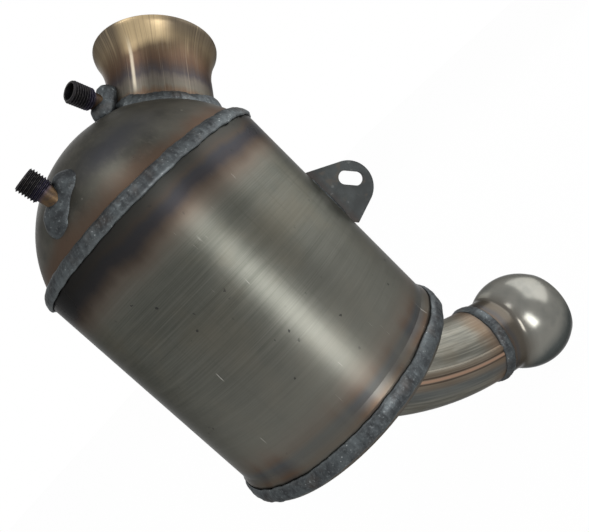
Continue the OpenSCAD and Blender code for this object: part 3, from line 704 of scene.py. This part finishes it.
def makeStub(name, stands, origin, axis, total, threadLength):
    start = total - threadLength

    def thread(h):
        limit = stub["crest"] - stub["chamfer"] + min(h - start, total - h) * stub["chamferSlope"]

        def radius(a):
            part = (h / stub["pitch"] - a / (2 * pi)) % 1
            groove = max(0.0, min(1.0, (1 - abs(2 * part - 1)) * stub["flank"] - stub["flat"]))
            return min(stub["crest"] - stub["depth"] * groove, limit)
        return radius
    count = int(threadLength / stub["step"])
    rows = [(stub["shank"] - stub["edge"], 0.0), (stub["shank"], stub["edge"])]
    rows += [(stub["shank"], h) for h in stretch(stub["edge"], start, stub["shankRows"])]
    rows.append((stub["shank"], start - stub["runOut"]))
    heights = [start + threadLength * i / count for i in range(count + 1)]
    rows += [(thread(h), h) for h in heights]
    rows += [(stub["seat"] + stub["bevel"], total), (stub["seat"], total - stub["bevel"])]
    floor = total - stub["seatDepth"]
    rows += [(stub["seat"], floor + stub["seatCone"])] + [(stub["passage"], h) for h in (floor, total / 3, 0.0)]
    points, faces = spun(rows, origin, axis, Vector((0, 0, 1)), stub["segments"])
    finish = darkStub(name + "Finish", origin, axis, start)
    return addPiece(name, points, faces, finish, stands, stub["sharp"])


upperClock, upperLift = radians(upper["clock"]), radians(upper["lift"])
upperOut = neckAcross * cos(upperClock) + Vector((0, sin(upperClock), 0))
upperSide = neckAcross * -sin(upperClock) + Vector((0, cos(upperClock), 0))


def besideNeck(out, up):  # a point on the side of the neck where the upper stub sits
    return neckFoot + upperOut * out - upperSide * upper["side"] + neckAxis * up


upperStart = besideNeck(upper["start"], neck["crossing"] - upper["drop"])
upperAxis = upperOut * cos(upperLift) + neckAxis * sin(upperLift)
lowerAxis = polar(lower["turn"], lower["lean"])
lowerStart = domeMiddle + polar(lower["turn"], lower["polar"]) * dome["radius"] - lowerAxis * lower["depth"]
makeStub("upperStub", "upper_stub", upperStart, upperAxis, upper["length"], upper["thread"])
makeStub("lowerStub", "lower_stub", lowerStart, lowerAxis, lower["length"], lower["thread"])
print("stubs threaded")


# Weld beads: a rippled section laid along a path, sunk into the sheet

bead = {"around": 18, "step": 0.62, "wobble": 0.15, "wobbleWaves": (9, 3.5), "lumps": 0.24, "lumpWaves": 7,
        "ripple": 0.14, "bow": 0.3, "stagger": 0.55, "staggerWaves": 10, "crest": 1.4, "level": 0.42,
        "grit": 0.18, "gritSpread": 6, "gritWaves": 1.8, "blunt": 0.35, "bite": 1.2}
beadSize = {"inletShellWeld": (10.2, 2.1, 1.7, 4.4), "outletShellWeld": (10.0, 1.9, 1.2, 5.4),
            "outletBallWeld": (8.6, 1.9, 1.3, 4.4), "inletNeckWeld": (14.0, 3.0, 3.0, 4.6),
            "outletPipeWeld": (7.4, 2.0, 1.6, 3.4), "bracketWelds": (6.2, 1.7, 1.6, 3.2),
            "canisterSeamWeld": (5.0, 0.75, 0.7, 1.8)}  # width, height, depth in the sheet, ripple length


def outOfNeck(p):  # out to the neck's wall, for points that lie inside it
    s = (p - neckFoot).dot(neckAxis)
    radial = p - neckFoot - neckAxis * s
    return p + radial.normalized() * max(0, neck["radius"] - bead["bite"] - radial.length)


def outOfCone(p):  # up to the cone's skin, for points that lie under it
    hit, _ = ontoCone(p)
    way = (p - domeMiddle).normalized()
    return p + way * max(0, (hit - p).dot(way) - bead["bite"])


def ontoInlet(p):
    return outOfCone(outOfNeck(p))


def resample(path, outs, closed):
    spans = [(path[i], path[(i + 1) % len(path)], outs[i], outs[(i + 1) % len(path)])
             for i in range(len(path) if closed else len(path) - 1)]
    total = sum((b - a).length for a, b, _, _ in spans)
    count = max(8, round(total / bead["step"]))
    points, normals, run, at = [], [], 0.0, 0
    for i in range(count if closed else count + 1):
        goal = total * i / count
        while at < len(spans) - 1 and run + (spans[at][1] - spans[at][0]).length < goal:
            run += (spans[at][1] - spans[at][0]).length
            at += 1
        a, b, n, m = spans[at]
        t = (goal - run) / max((b - a).length, 1e-9)
        points.append(mix(a, b, t))
        normals.append(mix(n, m, t).normalized())
    return points, normals


def layBead(name, stands, runs, settle=None):  # runs are (path, outward ways, closed)
    width, height, sink, pitch = beadSize[name]
    aside, further = Vector((40, 0, 0)), Vector((0, 60, 0))  # other places in the same unevenness
    allPoints, allFaces = [], []
    for path, outs, closed in runs:
        points, normals = resample(path, outs, closed)
        count, around = len(points), bead["around"]
        first = len(allPoints)
        ripples = max(3, round(count * bead["step"] / pitch))
        for i, (p, out) in enumerate(zip(points, normals)):
            ahead = points[(i + 1) % count] if closed or i < count - 1 else p
            behind = points[i - 1] if closed or i else p
            along = (ahead - behind).normalized()
            out = (out - along * out.dot(along)).normalized()
            side = along.cross(out)
            long, short = bead["wobbleWaves"]
            drift = bead["wobble"] * rough(p, long) + 0.5 * bead["wobble"] * rough(p + aside, short)
            swell = 1 + bead["lumps"] * rough(p + further, bead["lumpWaves"])
            taper = 1 if closed else min(1, bead["blunt"] + min(i, count - 1 - i) * bead["step"] / width)
            late = ripples * i / count  # crescents, as each puddle freezes behind the last
            for j in range(around):
                a = 2 * pi * j / around
                c, s = cos(a), sin(a)
                phase = (late + bead["bow"] * c * c + bead["stagger"] * rough(p, bead["staggerWaves"])) % 1
                crescent = (1 - phase) ** bead["crest"] - bead["level"]
                reach = width / 2 * (1 + drift * (1 if c > 0 else -1)) * taper
                grit = bead["grit"] * rough(p + side * c * bead["gritSpread"], bead["gritWaves"])
                top = height * swell * taper * (1 + bead["ripple"] * crescent) + grit
                allPoints.append(p + side * c * reach + out * (s * top if s > 0 else s * sink))
        allFaces += [tuple(first + k for k in face) for face in grid(count, around, closed, True)]
        if not closed:
            allFaces.append(tuple(first + j for j in range(around))[::-1])
            allFaces.append(tuple(first + (count - 1) * around + j for j in range(around)))
    if settle:
        allPoints = [settle(p) for p in allPoints]
    return addPiece(name, allPoints, allFaces, finishes["weld"], stands)


def circlePath(centre, axis, across, r, outAxis, outRadial, steps=240):
    side = axis.cross(across)
    turns = [2 * pi * i / steps for i in range(steps)]
    ways = [across * cos(t) + side * sin(t) for t in turns]
    return [centre + w * r for w in ways], [(w * outRadial + axis * outAxis).normalized() for w in ways], True


ringWeld = {"inlet": {"z": -0.9, "r": 80.9, "outAxis": 0.55, "outRadial": 0.83},
            "outlet": {"z": -165.2, "r": 84.5, "outAxis": 0.05, "outRadial": 1.0}, "ballRadius": 27.9}


def shellRing(z, **way):
    return [circlePath(upward * z, upward, eastward, **way)]


layBead("inletShellWeld", "inlet_shell_weld", shellRing(**ringWeld["inlet"]))
layBead("outletShellWeld", "outlet_shell_weld", shellRing(**ringWeld["outlet"]))
layBead("outletBallWeld", "outlet_ball_weld",
        [circlePath(pipeEnd, endAxis, outletSide, ringWeld["ballRadius"], 0.0, 1.0)])


neckWeld = {"gap": 14, "steps": 160, "climb": 0.4, "standOff": 1.0}


def neckWeldRun():  # starts and ends at the upper stub's lump
    start = radians(upper["clock"] - degrees(asin(upper["side"] / neck["radius"])))
    gap = radians(neckWeld["gap"])
    path, outs = [], []
    for i in range(neckWeld["steps"] + 1):
        a = start + gap + (2 * pi - 2 * gap) * i / neckWeld["steps"]
        p = neckRing(a, neck["radius"])
        _, normal = ontoCone(p)
        radial = neckAcross * cos(a) + Vector((0, sin(a), 0))
        path.append(p + neckAxis * neckWeld["climb"] + radial * neckWeld["standOff"])
        outs.append((radial + normal).normalized())
    return path, outs, False


pipeWeld = {"steps": 200, "standOff": 1.2}


def pipeWeldRun():
    fromCrown = Vector((outlet["centre"][0], outlet["centre"][1] - outlet["crownZ"]))
    away = fromCrown.length
    path, outs = [], []
    for i in range(pipeWeld["steps"]):
        a = 2 * pi * i / pipeWeld["steps"]
        r = outlet["bendRadius"] + outlet["pipeRadius"] * cos(a)
        side = outlet["pipeRadius"] * sin(a)
        meet = acos((outlet["crownRadius"] ** 2 - r * r - side * side - away * away) / (2 * r * away))
        turn = atan2(fromCrown.y, fromCrown.x) - meet
        way = outletOut * cos(turn) + upward * sin(turn)
        p = bendCentre + way * r - outletSide * side
        crown = (p - upward * outlet["crownZ"]).normalized()
        out = (way * cos(a) - outletSide * sin(a) + crown).normalized()
        path.append(p + out * pipeWeld["standOff"])
        outs.append(out)
    return path, outs, True


footWeld = {"turn": -27, "ends": (-93.4, -57.4), "side": 1.6, "bite": 0.1}


def bracketWeldRuns():
    turn = radians(footWeld["turn"])
    out = Vector((cos(turn), sin(turn), 0))
    side = Vector((-sin(turn), cos(turn), 0))
    runs = []
    for way in (1, -1):
        foot = out * (canister["radius"] - footWeld["bite"]) + side * way * footWeld["side"]
        path = [foot + upward * z for z in footWeld["ends"]]
        runs.append((path, [(out + side * way).normalized()] * 2, False))
    return runs


longSeam = {"turn": 78, "ends": (-7.0, -154.0)}


def shellSeamRun():
    out = polar(longSeam["turn"], 90)
    return [out * canister["radius"] + upward * z for z in longSeam["ends"]], [out, out], False


layBead("inletNeckWeld", "inlet_neck_weld", [neckWeldRun()], ontoInlet)
layBead("outletPipeWeld", "outlet_pipe_weld", [pipeWeldRun()])
layBead("bracketWelds", "bracket_welds", bracketWeldRuns())
layBead("canisterSeamWeld", "canister_seam_weld", [shellSeamRun()])


# Lumps of weld round the stubs: rough capsules seated on the cone and the neck

lump = {"around": 56, "rings": 16, "body": 10, "unevenness": 0.5, "waves": 3.6, "spread": 7, "second": 0.6,
        "secondWaves": 2.5}
upperLump = {"radius": 7.4, "out": 3.5, "lift": 0.2, "half": 6.5, "lean": 2}
lowerLump = {"radius": 10.4, "sink": 5.2, "turn": 5.5, "polar": 4.46}


def stubLump(name, node, first, last, radius, settle):
    along = (last - first).normalized()
    across = along.orthogonal().normalized()
    side = along.cross(across)
    rows = [(first, 90 * (i / lump["rings"] - 1)) for i in range(1, lump["rings"] + 1)]
    rows += [(mix(first, last, i / lump["body"]), 0) for i in range(1, lump["body"])]
    rows += [(last, 90 * i / lump["rings"]) for i in range(lump["rings"])]
    points = [first - along * radius, last + along * radius]
    for centre, lift in rows:
        up, out = sin(radians(lift)), cos(radians(lift))
        for j in range(lump["around"]):
            a = 2 * pi * j / lump["around"]
            way = along * up + (across * cos(a) + side * sin(a)) * out
            at = centre + way * lump["spread"]
            uneven = rough(at, lump["waves"]) + lump["second"] * rough(at, lump["waves"] * lump["secondWaves"])
            points.append(centre + way * (radius + lump["unevenness"] * uneven))
    points = [settle(p) for p in points]
    around, top = lump["around"], len(points) - lump["around"]
    faces = [tuple(2 + k for k in face) for face in grid(len(rows), around, False, True)]
    faces += [(0, 2 + (j + 1) % around, 2 + j) for j in range(around)]
    faces += [(1, top + j, top + (j + 1) % around) for j in range(around)]
    return addPiece(name, points, faces, finishes["weld"], node)


def upperLumpEnds():
    middle = besideNeck(neck["radius"] + upperLump["out"], neck["crossing"] + upperLump["lift"])
    half = neckAxis * upperLump["half"] - upperOut * upperLump["lean"]
    return middle + half, middle - half


def lowerLumpEnds():
    ways = [polar(lower["turn"] - way * lowerLump["turn"], lower["polar"] + way * lowerLump["polar"])
            for way in (1, -1)]
    return [domeMiddle + way * (dome["radius"] - lowerLump["sink"]) for way in ways]


stubLump("upperStubWeld", "upper_stub_weld", *upperLumpEnds(), upperLump["radius"], ontoInlet)
stubLump("lowerStubWeld", "lower_stub_weld", *lowerLumpEnds(), lowerLump["radius"], outOfCone)
print("welds laid")


# Filter block: square segments of fine channels, neighbours plugged at opposite ends

block = {"top": -18.0, "length": 132.0, "segments": 4, "pitch": 37.5, "width": 35.5, "cells": 14, "wall": 0.62,
         "radius": 75.0, "skin": 0.6, "plug": 8.0, "merge": 1e-4, "sharp": 30}


def clipRound(corners, r):  # part of a convex outline that lies inside a circle
    kept = []
    for i, a in enumerate(corners):
        b = corners[(i + 1) % len(corners)]
        if a.length <= r:
            kept.append(a)
        if (a.length <= r) != (b.length <= r):
            low, high = (a, b) if a.length <= r else (b, a)
            for _ in range(40):
                half = (low + high) / 2
                low, high = (half, high) if half.length <= r else (low, half)
            kept.append(low)
    return kept


def makeBlock():
    bm = bmesh.new()
    cell = block["width"] / block["cells"]

    def face(corners, z):
        bm.faces.new([bm.verts.new((*c, z)) for c in corners])

    def tile(corners, z, inward, isOpen):
        if len(corners) < 3:
            return
        if not isOpen:
            face(corners, z)
            return
        middle = sum(corners, Vector((0, 0))) / 4
        hole = [middle + (c - middle) * (1 - block["wall"] / cell) for c in corners]
        deep = z + inward * (block["length"] - block["plug"])
        floor = [bm.verts.new((*c, deep)) for c in hole]
        rim = [bm.verts.new((*c, z)) for c in hole]
        edge = [bm.verts.new((*c, z)) for c in corners]
        for i in range(4):
            k = (i + 1) % 4
            bm.faces.new((edge[i], edge[k], rim[k], rim[i]))
            bm.faces.new((rim[i], rim[k], floor[k], floor[i]))
        bm.faces.new(floor)

    tiles = []
    for column in range(block["segments"]):
        for row in range(block["segments"]):
            low = Vector([(n - (block["segments"] - 1) / 2) * block["pitch"] - block["width"] / 2
                          for n in (column, row)])
            for i in range(block["cells"]):
                for j in range(block["cells"]):
                    c = low + Vector((i, j)) * cell
                    square = [c, c + Vector((cell, 0)), c + Vector((cell, cell)), c + Vector((0, cell))]
                    whole = all(v.length < block["radius"] - block["skin"] for v in square)
                    outline = square if whole else clipRound(square, block["radius"])
                    tiles.append((outline, whole, (i + j) % 2))
    for outline, whole, parity in tiles:
        tile(outline, block["top"], -1, whole and parity == 0)
    bmesh.ops.remove_doubles(bm, verts=bm.verts, dist=block["merge"])
    rim = [e for e in bm.edges if len(e.link_faces) == 1]
    skirt = bmesh.ops.extrude_edge_only(bm, edges=rim)
    lowered = [g for g in skirt["geom"] if isinstance(g, bmesh.types.BMVert)]
    bmesh.ops.translate(bm, verts=lowered, vec=(0, 0, -block["length"]))
    for outline, whole, parity in tiles:
        tile(outline, block["top"] - block["length"], 1, whole and parity == 1)
    bmesh.ops.remove_doubles(bm, verts=bm.verts, dist=block["merge"])
    for v in bm.verts:
        v.co = toFrame(v.co)
    mesh = bpy.data.meshes.new("filterSegments")
    bm.to_mesh(mesh)
    bm.free()
    piece = dress(bpy.data.objects.new("filterSegments", mesh), finishes["ceramic"], "filter_segments",
                  block["sharp"])
    mesh.polygons.foreach_set("use_smooth", [False] * len(mesh.polygons))
    return piece


makeBlock()
print("filter block built")


# CAD solids that stay, each with its finish

kept = {"canister_shell": "shell", "outlet_cover": "cover", "outlet_pipe": "tube",
        "mounting_bracket": "bracket", "segment_cement": "cement", "support_mat": "mat",
        "inlet_wire_ring": "wire", "outlet_wire_ring": "wire"}
for name, finish in kept.items():
    nodes[name].data.materials.clear()
    nodes[name].data.materials.append(finishes[finish])
plate = {"weld": 0.00001, "bevel": 0.0006}
joined = nodes["mounting_bracket"].modifiers.new("join", "WELD")
joined.merge_threshold = plate["weld"]
eased = nodes["mounting_bracket"].modifiers.new("ease", "BEVEL")
eased.width, eased.segments, eased.limit_method = plate["bevel"], 2, "ANGLE"
print("solids dressed:", len(kept))


# Studio: white floor and surroundings, a tall window beside the camera, a soft wall of light on the right

studio = {"floorGap": 0.0005, "floorSize": 6.0, "ambient": 0.32, "floorGlow": 0.985, "white": (1, 1, 1, 1),
          "paper": (0.9, 0.9, 0.9, 1)}


def showsWhite(board):  # 1 for rays that should see the white surroundings
    camera, glossy, through = [board.node("LightPath", out=name)
                               for name in ("Is Camera Ray", "Is Glossy Ray", "Is Transmission Ray")]
    return camera.most(glossy).most(through)


def makeSurroundings():
    world = bpy.data.worlds.new("studio")
    world.use_nodes = True
    board = Board(world.node_tree)
    dim, white = [board.node("Background", None, {"Color": studio["white"], "Strength": strength})
                  for strength in (studio["ambient"], 1.0)]
    mixed = board.node("MixShader", None, {0: showsWhite(board), 1: dim, 2: white})
    board.node("OutputWorld", None, {0: mixed})
    bpy.context.scene.world = world


def makeFloor():
    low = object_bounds()[0].z - studio["floorGap"]
    half = studio["floorSize"] / 2
    mesh = bpy.data.meshes.new("floor")
    corners = ((-1, -1), (1, -1), (1, 1), (-1, 1))
    mesh.from_pydata([(x * half, y * half, low) for x, y in corners], [], [(0, 1, 2, 3)])
    floor = bpy.data.objects.new("floor", mesh)
    bpy.context.scene.collection.objects.link(floor)
    material = bpy.data.materials.new("floorPaper")
    material.use_nodes = True
    board = Board(material.node_tree)
    paper = board.node("BsdfDiffuse", None, {"Color": studio["paper"]})
    glow = board.node("Emission", None, {"Color": studio["white"], "Strength": 1.0})
    mixed = board.node("MixShader", None, {0: showsWhite(board) * studio["floorGlow"], 1: paper, 2: glow})
    board.node("OutputMaterial", None, {0: mixed})
    mesh.materials.append(material)


view = {"place": (-0.19823, -0.30707, -0.10066), "right": (0.56044, -0.42175, -0.7128),
        "up": (0.67184, -0.27161, 0.689), "back": (-0.48419, -0.86503, 0.1311), "sensor": 36.0, "lens": 31.66,
        "near": 0.01, "far": 20}


def makeCamera():
    data = bpy.data.cameras.new("camera")
    data.sensor_width, data.lens = view["sensor"], view["lens"]
    data.clip_start, data.clip_end = view["near"], view["far"]
    camera = bpy.data.objects.new("camera", data)
    bpy.context.scene.collection.objects.link(camera)
    turned = Matrix((view["right"], view["up"], view["back"])).transposed().to_4x4()
    camera.matrix_world = Matrix.Translation(view["place"]) @ turned
    bpy.context.scene.camera = camera


def addLamp(name, place, target, width, height, power):
    data = bpy.data.lights.new(name, "AREA")
    data.shape, data.size, data.size_y, data.energy = "RECTANGLE", width, height, power
    lamp = bpy.data.objects.new(name, data)
    bpy.context.scene.collection.objects.link(lamp)
    lamp.visible_camera = False
    lamp.location = place
    lamp.rotation_mode = "QUATERNION"
    lamp.rotation_quaternion = (Vector(target) - Vector(place)).to_track_quat("-Z", "Y")


# place from the part's middle, width, height, watts
lamps = {"window": ((-0.1, -0.49, -0.05), 0.14, 0.3, 1.15), "wall": ((0.95, -0.4, 0.3), 1.4, 0.95, 9.0),
         "above": ((-0.17, -0.36, 0.92), 0.25, 0.25, 1.4), "behind": ((0.3, 0.9, 0.5), 0.8, 0.8, 2.0)}
makeSurroundings()
makeFloor()
makeCamera()
partMiddle = (cadLow + cadHigh) / 2
for name, (place, width, height, power) in lamps.items():
    addLamp(name, partMiddle + Vector(place), partMiddle, width, height, power)
bpy.context.scene.view_settings.view_transform = "Standard"
print("studio lit")
